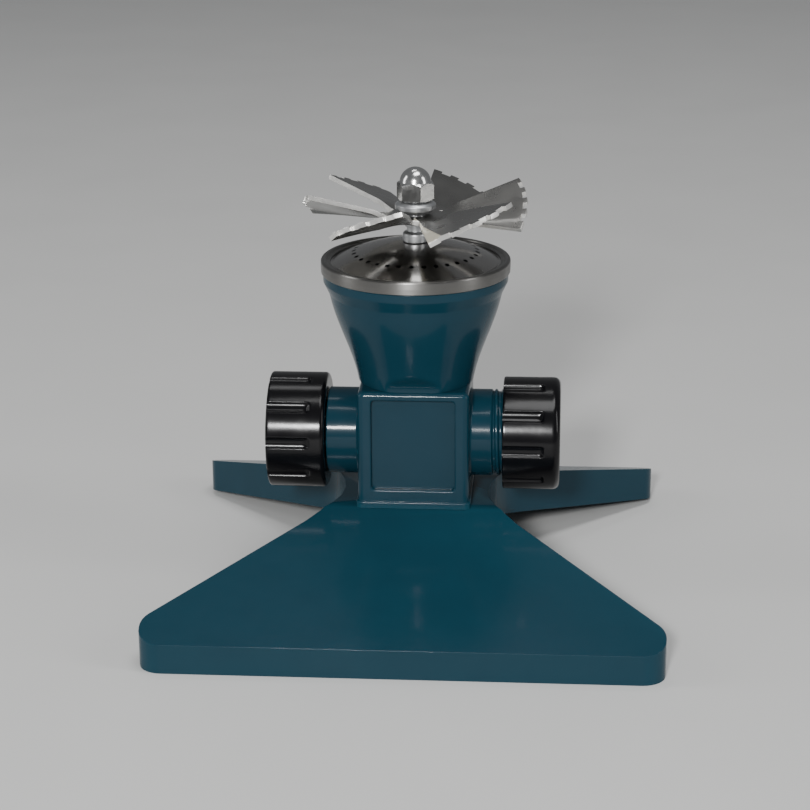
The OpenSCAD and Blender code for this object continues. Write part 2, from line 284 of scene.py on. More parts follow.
class Wires:
    """Adds pattern nodes to one material."""

    def __init__(self, tree, shader):
        self.tree = tree
        self.shader = shader
        self.place = self.add("ShaderNodeTexCoord").outputs["Object"]

    def add(self, kind, **values):
        node = self.tree.nodes.new(kind)
        for key, value in values.items():
            setattr(node, key, value)
        return node

    def link(self, source, target):
        self.tree.links.new(source, target)

    def noise(self, size_mm, detail, vector=None):
        """Noise whose features are about size_mm wide."""
        node = self.add("ShaderNodeTexNoise")
        node.inputs["Scale"].default_value = 1 / (size_mm * MM)
        node.inputs["Detail"].default_value = detail
        self.link(vector or self.place, node.inputs["Vector"])
        return node.outputs["Fac"]

    def math(self, operation, a, b=0):
        node = self.add("ShaderNodeMath", operation=operation)
        for socket, value in zip(node.inputs, (a, b)):
            if isinstance(value, (int, float)):
                socket.default_value = value
            else:
                self.link(value, socket)
        return node.outputs[0]

    def ramp(self, fac, stops):
        """stops are the two ends, each (position, grey)."""
        node = self.add("ShaderNodeValToRGB")
        for element, (position, grey) in zip(node.color_ramp.elements, stops):
            element.position = position
            element.color = (grey, grey, grey, 1)
        self.link(fac, node.inputs["Fac"])
        return node.outputs["Color"]

    def mix(self, fac, a, b):
        """Each of the three is a socket, or a number for fac and a colour for a and b."""
        node = self.add("ShaderNodeMix", data_type="RGBA")
        for name, value in (("Factor", fac), ("A", a), ("B", b)):
            socket = node.inputs[name]
            if isinstance(value, tuple):
                socket.default_value = (*value, 1)
            elif isinstance(value, (int, float)):
                socket.default_value = value
            else:
                self.link(value, socket)
        return node.outputs["Result"]

    def edges(self, start=0.52, end=0.6):
        """1 on outward edges, 0 on flat ground."""
        pointiness = self.add("ShaderNodeNewGeometry").outputs["Pointiness"]
        return self.ramp(pointiness, [(start, 0.0), (end, 1.0)])

    def turned_marks(self, pitch_mm):
        """Fine rings round the z axis, left by spinning or turning."""
        parts = self.add("ShaderNodeSeparateXYZ")
        self.link(self.place, parts.inputs[0])
        x, y, z = parts.outputs
        square = self.math("ADD", self.math("MULTIPLY", x, x), self.math("MULTIPLY", y, y))
        joined = self.add("ShaderNodeCombineXYZ")
        self.link(self.math("SQRT", square), joined.inputs["X"])
        self.link(z, joined.inputs["Y"])
        return self.noise(pitch_mm, 2, joined.outputs[0])

    def beside_line(self, p, q):
        """1 on the left of the line from p to q on a plan of the object, else 0."""
        parts = self.add("ShaderNodeSeparateXYZ")
        self.link(self.place, parts.inputs[0])
        along = Vector(q) - Vector(p)
        side = self.math("SUBTRACT", self.math("MULTIPLY", parts.outputs["Y"], along.x),
                         self.math("MULTIPLY", parts.outputs["X"], along.y))
        return self.math("GREATER_THAN", side, (p[1] * along.x - p[0] * along.y) * MM)

    def bump(self, height, strength, distance_mm):
        node = self.add("ShaderNodeBump")
        node.inputs["Strength"].default_value = strength
        node.inputs["Distance"].default_value = distance_mm * MM
        self.link(height, node.inputs["Height"])
        previous = self.shader.inputs["Normal"]
        if previous.is_linked:
            self.link(previous.links[0].from_socket, node.inputs["Normal"])
        self.link(node.outputs["Normal"], self.shader.inputs["Normal"])

    def roughness(self, fac, lowest, highest):
        self.link(self.ramp(fac, [(0.3, lowest), (0.7, highest)]), self.shader.inputs["Roughness"])

    def color(self, value):
        self.link(value, self.shader.inputs["Base Color"])


def teal_paint():
    """Thick glossy powder coat on a rough casting, with a painted highlight on its outward edges."""
    mat, w = new_material("teal_paint", TEAL, roughness=0.25)
    cloud = w.noise(size_mm=9, detail=4)
    # Lighter teal on outward edges is a painted highlight; the cloud is the coat's own uneven tone.
    w.color(w.mix(w.edges(), w.mix(cloud, TEAL_DEEP, TEAL), TEAL_EDGE_HIGHLIGHT))
    w.roughness(w.noise(size_mm=3, detail=3), lowest=0.23, highest=0.27)
    w.bump(w.noise(size_mm=1.1, detail=2), strength=0.06, distance_mm=0.12)
    w.bump(w.noise(size_mm=6, detail=2), strength=0.10, distance_mm=0.5)
    w.shader.inputs["Specular IOR Level"].default_value = 0.06
    w.shader.inputs["Coat Weight"].default_value = 0.2
    w.shader.inputs["Coat Roughness"].default_value = 0.09
    return mat


def black_plastic():
    """Moulded polypropylene with a fine texture, and paler outward edges that are a painted highlight."""
    mat, w = new_material("black_plastic", BLACK, roughness=0.26)
    # Paler outward edges: a painted highlight.
    edge_highlight = w.edges(start=0.53, end=0.62)
    w.color(w.mix(edge_highlight, w.mix(w.noise(size_mm=7, detail=3), BLACK, BLACK_WARM), BLACK_EDGE_HIGHLIGHT))
    w.shader.inputs["Specular IOR Level"].default_value = 0.24
    w.roughness(w.noise(size_mm=6, detail=3), lowest=0.16, highest=0.2)
    w.bump(w.noise(size_mm=5, detail=2), strength=0.08, distance_mm=0.3)
    return mat


def turned_metal(name, color, rough, marks_mm, mark_depth, anisotropy):
    """Metal spun or turned about the z axis, with fine rings and faint handling marks."""
    smoothest, roughest, darkening = 0.75, 1.35, 0.72
    mat, w = new_material(name, color, rough, metallic=1.0)
    darker = tuple(darkening * c for c in color)
    w.color(w.mix(w.noise(size_mm=8, detail=4), darker, color))
    marks = w.turned_marks(marks_mm)
    w.roughness(w.mix(0.5, marks, w.noise(size_mm=3, detail=4)), lowest=rough * smoothest,
                highest=rough * roughest)
    w.bump(marks, strength=0.25, distance_mm=mark_depth)
    tangent = w.add("ShaderNodeTangent", direction_type="RADIAL", axis="Z")
    w.link(tangent.outputs[0], w.shader.inputs["Tangent"])
    w.shader.inputs["Anisotropic"].default_value = anisotropy
    w.shader.inputs["Anisotropic Rotation"].default_value = 0.25
    return mat


def rotor_sheet():
    """Stamped sheet with a satin rolled finish and slow waves from the press."""
    mat, w = new_material("rotor_sheet", SHEET, roughness=0.3, metallic=1.0)
    # The first blade's bent corner, between its crease and the front, carries a painted reflection: paler,
    # less metallic
    crease_root, crease_tip = (1.8, -9.7), (10.0, -32.3)
    middle, front = (0, 0), (0, -40)
    painted_reflection = 0.75
    corner = w.math("MULTIPLY", w.beside_line(crease_tip, crease_root), w.beside_line(middle, front))
    w.color(w.mix(corner, w.mix(w.noise(size_mm=9, detail=1), SHEET_DARK, SHEET), SHEET_CORNER_REFLECTION))
    w.link(w.math("SUBTRACT", 1, w.math("MULTIPLY", corner, painted_reflection)), w.shader.inputs["Metallic"])
    w.roughness(w.noise(size_mm=7, detail=1), lowest=0.26, highest=0.32)
    w.bump(w.noise(size_mm=14, detail=0), strength=0.2, distance_mm=0.4)
    return mat


def plated_steel():
    """Zinc-plated small parts."""
    mat, w = new_material("zinc_steel", ZINC, roughness=0.3, metallic=1.0)
    w.color(w.mix(w.noise(size_mm=2, detail=4), tuple(0.75 * c for c in ZINC), ZINC))
    w.roughness(w.noise(size_mm=0.8, detail=4), lowest=0.36, highest=0.48)
    w.bump(w.noise(size_mm=0.4, detail=3), strength=0.12, distance_mm=0.02)
    return mat


def chrome():
    """Bright plating with faint waviness from the forged blank below."""
    mat, w = new_material("chrome", CHROME, roughness=0.1, metallic=1.0)
    w.color(w.mix(w.noise(size_mm=3, detail=3), tuple(0.82 * c for c in CHROME), CHROME))
    w.roughness(w.noise(size_mm=1.5, detail=4), lowest=0.14, highest=0.24)
    w.bump(w.noise(size_mm=2.2, detail=2), strength=0.10, distance_mm=0.08)
    return mat


def rubber():
    mat, w = new_material("rubber", BLACK, roughness=0.65)
    w.color(w.mix(w.noise(size_mm=2, detail=4), RUBBER_DARK, RUBBER))
    w.roughness(w.noise(size_mm=1, detail=3), lowest=0.55, highest=0.8)
    w.bump(w.noise(size_mm=0.3, detail=3), strength=0.2, distance_mm=0.05)
    return mat


# Linear colours
TEAL = (0.0085, 0.038, 0.057)
TEAL_DEEP = (0.0072, 0.032, 0.049)
TEAL_EDGE_HIGHLIGHT = (0.013, 0.066, 0.095)
BLACK = (0.0026, 0.0026, 0.0036)
BLACK_WARM = (0.0045, 0.0042, 0.0048)
BLACK_EDGE_HIGHLIGHT = (0.010, 0.010, 0.012)
STEEL = (0.40, 0.39, 0.375)
BRIGHT_STEEL = (0.24, 0.235, 0.225)
SHEET = (0.33, 0.325, 0.31)
SHEET_DARK = (0.25, 0.245, 0.235)
SHEET_CUT_HIGHLIGHT = (0.80, 0.79, 0.76)
SHEET_CORNER_REFLECTION = (0.66, 0.62, 0.50)
ZINC = (0.56, 0.57, 0.58)
CHROME = (0.70, 0.70, 0.69)
RUBBER = (0.03, 0.03, 0.03)
RUBBER_DARK = (0.015, 0.015, 0.015)
FLOOR = (0.62, 0.62, 0.61)

MATERIALS = {
    "teal_paint": teal_paint(),
    "black_plastic": black_plastic(),
    "stainless": turned_metal("stainless", STEEL, rough=0.17, marks_mm=0.35, mark_depth=0.008,
                              anisotropy=0.15),
    "polished_rim": turned_metal("polished_rim", BRIGHT_STEEL, rough=0.36, marks_mm=0.3,
                                 mark_depth=0.006, anisotropy=0.8),
    "rotor_sheet": rotor_sheet(),
    "chrome": chrome(),
    "zinc_steel": plated_steel(),
    "rubber": rubber(),
}
SLOTS = {part["node"]: part["material_slot"] for part in frame["record"]["subparts"]}
for node, obj in NODES.items():
    obj.data.materials.clear()
    obj.data.materials.append(MATERIALS[SLOTS[node]])


def finish_piece(obj, node):
    """Gives a piece its node's finish and place, and hides the node it stands for."""
    obj.data.materials.clear()
    obj.data.materials.append(MATERIALS[SLOTS[node]])
    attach(obj, NODES[node]["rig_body"])
    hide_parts(node)
    return obj


# ---------------------------------------------------------------- castings


def thread_shape(depth, start, end, sign):
    """Radius change of a hose thread. sign is -1 for grooves cut inwards, 1 for ridges outwards.

    A ridge is full up to crest, in parts of a turn from its middle, and gone past root."""
    crest, root, fade = 0.10, 0.36, 0.8

    def shape(r, h, angle):
        turn = (h / THREAD_PITCH + angle / (2 * math.pi)) % 1
        ridge = 1 - step_between(abs(turn - 0.5), crest, root)
        here = step_between(h, start, start + fade) * (1 - step_between(h, end - fade, end))
        return sign * depth * (1 - ridge if sign < 0 else ridge) * here
    return shape


def rectangle_radius(half_w, half_h, corner, angle):
    """Distance from the middle of a rounded rectangle to its outline."""
    c, s = abs(math.cos(angle)), abs(math.sin(angle))
    across, up = half_w - corner, half_h - corner
    if s * half_w <= c * up:
        return half_w / c
    if c * half_h <= s * across:
        return half_h / s
    along = c * across + s * up
    return along + math.sqrt(along ** 2 - across ** 2 - up ** 2 + corner ** 2)


def corner_angles(half_w, half_h):
    """Turning angles that crowd round the four corners of a rectangle."""
    diagonal = math.atan2(half_h, half_w)
    near = [math.radians(0.7 * k) for k in range(-9, 10)]
    angles = [base + side * diagonal + t for base in (0, math.pi) for side in (-1, 1) for t in near]
    return sorted(set(round(a % (2 * math.pi), 6) for a in angles + even_angles(12)))


def block():
    """The square block: stepped foot, rounded edges and a recessed panel front and back."""
    half, top, corner, edge = 17.0, 66.0, 2.0, 1.6
    step, step_z, step_rounding, step_fillet = 0.6, SEAT_Z + 2.0, 0.45, 0.12
    panel_half, panel_low, panel_high, panel_corner, depth = 12.75, 34.7, 63.4, 1.2, 2.0
    floor_fillet, rim_rounding = 0.15, 0.55
    foot = rounded_profile([(0, SEAT_Z), (half + step, SEAT_Z), (half + step, step_z, step_rounding),
                            (half, step_z, step_fillet), (half, top), (0, top)], 6)[:-2]
    crown = [(half - edge * (1 - math.cos(t)), top - edge * (1 - math.sin(t))) for t in quarter_turn(7)]
    obj = turned("block", foot + crown + [(0, top)], corner_angles(half, half), closed=False,
                 shape=lambda r, h, angle: rectangle_radius(r, r, corner, angle))
    taller = (panel_high - panel_low) / 2 - panel_half
    wall = [(panel_half - floor_fillet * (1 - math.sin(t)), floor_fillet * (1 - math.cos(t)))
            for t in quarter_turn(5)]
    wall += [(panel_half + rim_rounding * (1 - math.cos(t)), depth - rim_rounding * (1 - math.sin(t)))
             for t in quarter_turn(5)]
    outside = depth + 1
    for side in (-1, 1):
        panel = turned("panel", [(0, 0)] + wall + [(wall[-1][0], outside), (0, outside)],
                       corner_angles(panel_half, panel_half + taller), closed=False,
                       shape=lambda r, h, angle: rectangle_radius(r, r + taller, panel_corner, angle))
        face = Matrix.Translation((0, side * (half - depth) * MM, (panel_high + panel_low) / 2 * MM))
        panel.data.transform(face @ Matrix.Rotation(-side * math.pi / 2, 4, "X"))
        boolean(obj, panel, "DIFFERENCE")
    make_flats_whole(obj.data)
    return obj


def funnel_radius(z):
    """Half straight cone, half S-curve between the block and the lip."""
    start_z, height, start_r, widening = 65, 30, 17.6, 9.0
    t = min(1, max(0, (z - start_z) / height))
    return start_r + widening * (t / 2 + (1 - math.cos(math.pi * t)) / 4)


def funnel():
    """Outside of the funnel head, from inside the block up to the gasket's seat.

    Its foot is flattened at the front and back, so it stays on the block's top."""
    foot_y, foot_z, full_z = 16.0, 66.6, 72.0
    inside_r, inside_z = 14, 60
    root_low, root_high, root_inset = 64.8, 66.0, 0.6
    first_row, row_h, rows = 65.2, 0.9, 31
    wall_top, flare_r, flare_z, lip_start = 92.4, 26.5, 93.8, 97.3
    seat_z = BAND[0].z - 0.05
    spigot_r, spigot_z = LIP_R - 1.1, BAND[0].z + 1.2

    def shape(r, h, angle):
        across = abs(r * math.sin(angle))
        reach = foot_y + max(0.0, r - foot_y) * step_between(h, foot_z, full_z)
        return r if across <= reach else r * reach / across
    wall = []
    for z in [first_row + row_h * i for i in range(rows)]:
        wall.append((funnel_radius(z) - root_inset * (1 - step_between(z, root_low, root_high)), z))
    lip = rounded_profile([(funnel_radius(wall_top), wall_top), (flare_r, flare_z, 3.0),
                           (LIP_R, lip_start, 1.6), (LIP_R, seat_z, 0.35), (spigot_r, seat_z),
                           (spigot_r, spigot_z), (0, spigot_z)], 6)
    return turned("funnel", [(0, inside_z), (inside_r, inside_z)] + wall + lip, even_angles(160),
                  closed=False, shape=shape)


def necks():
    """Inlet neck, and outlet neck with its hose thread."""
    face, flare, neck_r = 17.0, 0.6, 13.4
    neck_end = INLET[1].x + 0.3
    stub_r, stub_end, stub_start = 9.0, -33.0, INLET[1].x + 2
    crest_r, thread_depth = THREAD_R - 0.02, 0.7
    neck = rounded_profile([(0, neck_end), (neck_r, neck_end, 0.4), (neck_r, -face - flare, 0.5),
                            (neck_r + flare, -face, 0.2), (neck_r + flare, 0), (0, 0)], 5)
    left = turned("left_neck", neck, even_angles(144), closed=False, axis="x")
    tube = rounded_profile([(0, stub_end), (stub_r, stub_end, 0.4), (stub_r, stub_start), (0, stub_start)], 3)
    stub = turned("stub", tube, even_angles(96), closed=False, axis="x")
    rod = rounded_profile([(0, 0), (neck_r + flare, 0), (neck_r + flare, face, 0.2),
                           (neck_r, face + flare, 0.5), (neck_r, THREAD_START - 0.2)], 5)
    rod += divided([(crest_r, THREAD_START), (crest_r, OUTLET_END)], 0.2) + [(0, OUTLET_END)]
    thread = thread_shape(thread_depth, THREAD_START, OUTLET_END + 1, -1)

    def shape(r, h, angle):
        return r + thread(r, h, angle) if h > THREAD_START and r > THREAD_R - 0.5 else r
    right = turned("right_neck", rod, even_angles(144), closed=False, axis="x", shape=shape)
    return [left, stub, right]


def cavity():
    """The water's way through the body. It runs past both ends and the top, to cut them open."""
    inlet_r, inlet_end = 7, -34
    outlet_r, outlet_end = 9.4, 41
    through = turned("through", [(0, inlet_end), (inlet_r, inlet_end), (inlet_r, 0), (outlet_r, 0),
                                 (outlet_r, outlet_end), (0, outlet_end)],
                     even_angles(96), closed=False, axis="x")
    rise_r, rise_top, wall = 9.5, 59.3, 3
    bowl_start, row_h, rows = 68, 2, 14
    mouth_r, mouth_z, past_top = 24.2, 97.9, 103
    bowl = [(funnel_radius(z) - wall, z) for z in [bowl_start + row_h * i for i in range(rows)]]
    up = turned("up", [(0, PORT_Z), (rise_r, PORT_Z), (rise_r, rise_top)] + bowl
                + [(mouth_r, mouth_z), (mouth_r, past_top), (0, past_top)], even_angles(96), closed=False)
    return [through, up]


def body_casting():
    groove_floor, past_stub, groove_start, groove_end = 8, 10, -32.2, -31
    body = block()
    body.name = "manifold_body"
    for part in [funnel()] + necks():
        boolean(body, part, "UNION")
    for part in cavity():
        boolean(body, part, "DIFFERENCE")
    groove = turned("groove", [(groove_floor, groove_start), (past_stub, groove_start),
                               (past_stub, groove_end), (groove_floor, groove_end)],
                    even_angles(96), axis="x")
    boolean(body, groove, "DIFFERENCE")
    smooth(finish_piece(body, "body_casting"), 32)


def base_casting():
    smooth(finish_piece(rounded_copy("base_casting", "sled_base", 1.5, 4), "base_casting"), 32)


# ---------------------------------------------------------------- couplings
FLUTES = 10
FLUTE_W = 3.3
FLUTE_DEPTH = 1.0
GRIP_R = 17.6


def flute_angles(first):
    """Turning angles, close together over each flute and wide between them.

    The lists give places round the grip in millimetres from a flute's middle."""
    half = [0.25, 0.55, 0.85, 1.1, 1.3, 1.45, 1.6, 1.75, 1.9, 2.1]
    across = [0] + half + [-s for s in half]
    lands = [3.0, 3.9, 4.8, 5.6, 6.4, 7.3, 8.2]
    angles = []
    for i in range(FLUTES):
        centre = first + 2 * math.pi * i / FLUTES
        angles += [centre + s / GRIP_R for s in across + lands]
    return sorted(a % (2 * math.pi) for a in angles)


def flute_depth(r, h, angle, first, open_end, length):
    """How deep the nearest flute is at this point: hollow across, steep at its rounded outline."""
    hollowing, wall_in, wall_out = 0.45, 0.3, 0.25
    turn = (angle - first + math.pi / FLUTES) % (2 * math.pi / FLUTES) - math.pi / FLUTES
    across = abs(r * math.sin(turn))
    past = abs(h - open_end) - (length - FLUTE_W / 2)
    distance = (across ** 4 + max(0, past) ** 4) ** 0.25
    hollow = 1 - hollowing * min(1, 2 * distance / FLUTE_W) ** 2
    return FLUTE_DEPTH * hollow * (1 - step_between(distance, FLUTE_W / 2 - wall_in, FLUTE_W / 2 + wall_out))


def fluted(name, outer, inner, radius, first, open_end, length, inner_shape=None):
    """A coupling: its outer profile carries grip flutes and its inner one may carry a thread."""
    grip_wall = 2.6

    def shape(r, h, angle):
        if r > radius - grip_wall:
            return min(r, radius - flute_depth(radius, h, angle, first, open_end, length))
        return r + inner_shape(r, h, angle) if inner_shape else r
    return turned(name, outer + inner, flute_angles(first), axis="x", shape=shape)


def swivel_nut():
    """The hose coupling: fluted outside, threaded inside, with a web that the stub passes through."""
    x0, x1 = INLET[0].x, INLET[1].x
    r = INLET[1].y
    mouth_r, back_r = 15.2, 14
    seat = x0 + HOSE_BORE_LEN
    web, web_bore = x1 - 3.3, 9.06
    washer_r = HOSE_BORE_R + 0.6
    lead_in, ridge_h = 0.9, 0.95
    first_flute, flute_length = math.radians(4.2), 13.1
    outer = divided(rounded_profile([(mouth_r, x0), (r, x0, 0.7), (r, x1, 1.2), (back_r, x1)], 5), 0.45)
    inner = rounded_profile([(web_bore, x1), (web_bore, web, 0.3), (washer_r, web), (washer_r, seat)], 3)
    inner += divided([(HOSE_BORE_R, seat), (HOSE_BORE_R, x0 + lead_in)], 0.22)
    inner += [(HOSE_BORE_R + lead_in, x0)]
    thread = thread_shape(ridge_h, x0 + 1.2, seat + 0.9, 1)

    def ridges(r_here, h, angle):
        return -thread(r_here, h, angle) if abs(r_here - HOSE_BORE_R) < 0.05 and h < seat + 0.01 else 0
    nut = fluted("swivel_coupling", outer, inner, r, first_flute, x0, flute_length, ridges)
    smooth(finish_piece(nut, "swivel_nut"), 40)


def outlet_cap():
    """The screw cap: fluted outside, with a slightly dished face."""
    x0, x1 = CAP[0].x, CAP[1].x
    r = CAP[1].y
    bore, chamfer = THREAD_R + 0.3, 0.5
    hollow_end = x1 - 3
    dish_r, dish_floor_r, dish_floor = 11.5, 11.2, x1 - 0.4
    first_flute, flute_length = math.radians(-1), 12.5
    outer = rounded_profile([(bore + chamfer, x0), (r, x0, 0.5), (r, x1, 2.2), (0, x1)], 7)[:-1]
    outer = divided(outer, 0.45)
    cap = fluted("screw_cap", outer + [(dish_r, x1), (dish_floor_r, dish_floor), (0.0, dish_floor)],
                 [(0.0, hollow_end), (bore, hollow_end), (bore, x0 + chamfer)],
                 r, first_flute, x0, flute_length)
    smooth(finish_piece(cap, "outlet_cap"), 40)


# ---------------------------------------------------------------- spray head


def ring_profile(r0, r1, z0, z1, rounding):
    corners = (r0, z0), (r1, z0), (r1, z1), (r0, z1)
    return rounded_profile([(*corner, rounding) for corner in corners], 4)


def simple_ring(name, node, rounding, bore):
    """A washer or seal with rounded edges, as wide and as high as its CAD node.

    One that is thin along x lies round the ports' axis, any other round the spindle."""
    lo, hi = low(node), high(node)
    if hi.x - lo.x < hi.y - lo.y - 1:
        piece = turned(name, ring_profile(bore, hi.y, lo.x, hi.x, rounding), even_angles(96), axis="x")
    else:
        piece = turned(name, ring_profile(bore, hi.y, lo.z, hi.z, rounding), even_angles(96))
    smooth(finish_piece(piece, node), 40)


def spray_dome():
    """A shallow sheet dome with a flat flange, drilled with one ring of holes."""
    sphere_r, sheet, edge_r = 55.3, 1.0, 25.3
    centre = DOME_TOP - sphere_r
    holes, ring_r, hole_r = 32, 18.8, 0.75
    flange, flange_r = BAND[0].z + 3.0, LIP_R - 1.4
    parts = 36
    reach = [SPINDLE_BORE + (edge_r - SPINDLE_BORE) * i / parts for i in range(parts + 1)]
    inside = [r for r in reversed(reach) if r < edge_r - 1]
    skin = [(r, centre + math.sqrt(sphere_r ** 2 - r ** 2)) for r in reach]
    lining = [(r, centre + math.sqrt((sphere_r - sheet) ** 2 - r ** 2)) for r in inside]
    rim = rounded_profile([(edge_r, flange + 0.05), (flange_r, flange), (flange_r, flange - sheet),
                           (edge_r - 1, flange - sheet)], 3)
    dome = turned("perforated_dome", skin + rim + lining, even_angles(160))
    tilt = math.asin(ring_r / sphere_r)
    drills = bmesh.new()
    for i in range(holes):
        place = (Matrix.Rotation(2 * math.pi * i / holes, 4, "Z") @ Matrix.Translation((0, 0, centre * MM))
                 @ Matrix.Rotation(tilt, 4, "Y") @ Matrix.Translation((0, 0, sphere_r * MM)))
        bmesh.ops.create_cone(drills, cap_ends=True, segments=20, radius1=hole_r * MM,
                              radius2=hole_r * MM, depth=5 * MM, matrix=place)
    mesh = bpy.data.meshes.new("drills")
    drills.to_mesh(mesh)
    drills.free()
    cutter = bpy.data.objects.new("drills", mesh)
    bpy.context.scene.collection.objects.link(cutter)
    boolean(dome, cutter, "DIFFERENCE")
    smooth(finish_piece(dome, "spray_dome"), 30)


def rim_band():
    """The band: a rolled outer edge and a lower lip that reaches in over the dome's flange."""
    lo, hi = BAND[0].z, BAND[1].z
    bore, draft, swell_z = LIP_R - 1.0, 0.1, lo + 1.8
    roll_r, roll_foot_r = RIM_R - 1.5, RIM_R - 1.9
    lip_r, lip_top, lip_bottom = 25.9, hi - 0.62, hi - 1.05
    profile = rounded_profile([(bore, lo, 0.15), (RIM_R - draft, lo, 0.3), (RIM_R, swell_z, 3),
                               (RIM_R, hi, 0.75), (roll_r, hi, 0.6), (roll_foot_r, lip_top, 0.5),
                               (lip_r, lip_top, 0.15), (lip_r, lip_bottom), (bore, lip_bottom)], 6)
    smooth(finish_piece(turned("rim", profile, even_angles(192)), "rim_band"), 40)


def collar():
    """The flanged spacer between the dome and the rotor."""
    lo, hi = low("spindle_collar").z, high("spindle_collar").z
    wide_r, wide_top, narrow_r, narrow_foot = 3.9, lo + 2.9, 2.6, lo + 3.1
    profile = rounded_profile([(SPINDLE_BORE, lo), (wide_r, lo, 0.3), (wide_r, wide_top, 0.9),
                               (narrow_r, narrow_foot, 0.5), (narrow_r, hi, 0.15), (SPINDLE_BORE, hi)], 5)
    smooth(finish_piece(turned("collar", profile), "spindle_collar"), 40)


def dished_washer():
    """The washer under the nut, sloping down to its edge."""
    lo, hi = low("top_washer").z, high("top_washer").z
    r = high("top_washer").x
    foot_r, edge_low, edge_high = r - 1.4, lo + 1.2, hi - 0.9
    slope_r, slope_z, flat_r = r - 0.8, hi - 0.25, r - 2.4
    profile = rounded_profile([(SPINDLE_BORE, lo), (foot_r, lo, 0.5), (r, edge_low, 0.4),
                               (r, edge_high, 0.25), (slope_r, slope_z, 0.4), (flat_r, hi),
                               (SPINDLE_BORE, hi)], 5)
    smooth(finish_piece(turned("washer", profile), "top_washer"), 40)


def acorn_nut():
    """A domed hexagon nut with chamfered corners and a blind hole."""
    flats, hex_h, dome_r = 10.0, 6.2, 4.8
    corner_r = flats / 2 / math.cos(math.pi / 6)
    z0, z1 = NUT[0].z, NUT[1].z
    phase = math.radians(-70)
    shoulder = z0 + hex_h + 0.1
    centre = z1 - dome_r
    start = math.asin((shoulder - centre) / dome_r)
    parts = 14
    crown = [(dome_r * math.cos(t), centre + dome_r * math.sin(t))
             for t in [start + (math.pi / 2 - start) * i / parts for i in range(parts + 1)]]
    past_corner, face_r, top_r = corner_r + 0.1, corner_r - 1.5, corner_r - 0.95
    chamfer_low, chamfer_high, hex_top = z0 + 1.0, z0 + hex_h - 0.9, z0 + hex_h - 0.1
    hole_wall, hole_tip = z0 + 7.6, z0 + 8
    body = divided([(SPINDLE_BORE, z0), (face_r, z0), (past_corner, chamfer_low), (past_corner, chamfer_high),
                    (top_r, hex_top), crown[0]], 0.3)
    profile = body + crown[1:-1] + [(0, z1), (0, hole_tip), (SPINDLE_BORE, hole_wall)]

    def shape(r, h, angle):
        if h > shoulder - 0.05 or r < SPINDLE_BORE + 0.1:
            return r
        turn = (angle - phase) % (math.pi / 3) - math.pi / 6
        return min(r, (flats / 2) / math.cos(turn))
    nut = turned("acorn_nut", profile, [phase + a for a in even_angles(144)], shape=shape)
    smooth(finish_piece(nut, "cap_nut"), 22)


# ---------------------------------------------------------------- rotor
# Direction, half angle, twist, rise and corner fold of each blade in degrees. They differ in the photo.
BLADES = [[math.radians(a) for a in blade] for blade in (
    (-54.3, 25.2, 15.5, 9.2, 9), (3, 21, 20.5, 9.0, 16), (63, 21, 20.5, 4.5, 18),
    (125, 21, 20.5, 7.0, 18), (183, 21, 20.5, 9.5, 18), (246.5, 21, 20.5, 9.8, 18))]
TEETH = 5
ROOT_R = 8.6
TIP_R = 33.8
TOOTH = 1.3
SHEET_T = 1.5
HUB_Z = 116.0


def blade_point(r, u, half, pitch, rise, fold):
    """A point on a blade's middle surface. u runs from -1 (low edge) to 1 (high edge)."""
    twist_start, twist_end = ROOT_R - 1.5, ROOT_R + 6
    bow, crease_start, crease_slope = 0.5, 0.05, 0.28
    angle = u * half
    along = max(0.0, (r - ROOT_R) / (TIP_R - ROOT_R))
    twist = step_between(r, twist_start, twist_end)
    z = r * math.sin(angle) * math.tan(pitch) * twist + math.tan(rise) * max(0.0, r - ROOT_R)
    z += bow * (1 - u * u) * along ** 2
    crease = -1 + crease_slope * max(0.0, along - crease_start)
    past = max(0.0, crease - u) * r * half
    return (r * math.cos(angle), r * math.sin(angle) + past * (1 - math.cos(fold)),
            HUB_Z + SHEET_T / 2 + z - past * math.tan(fold))


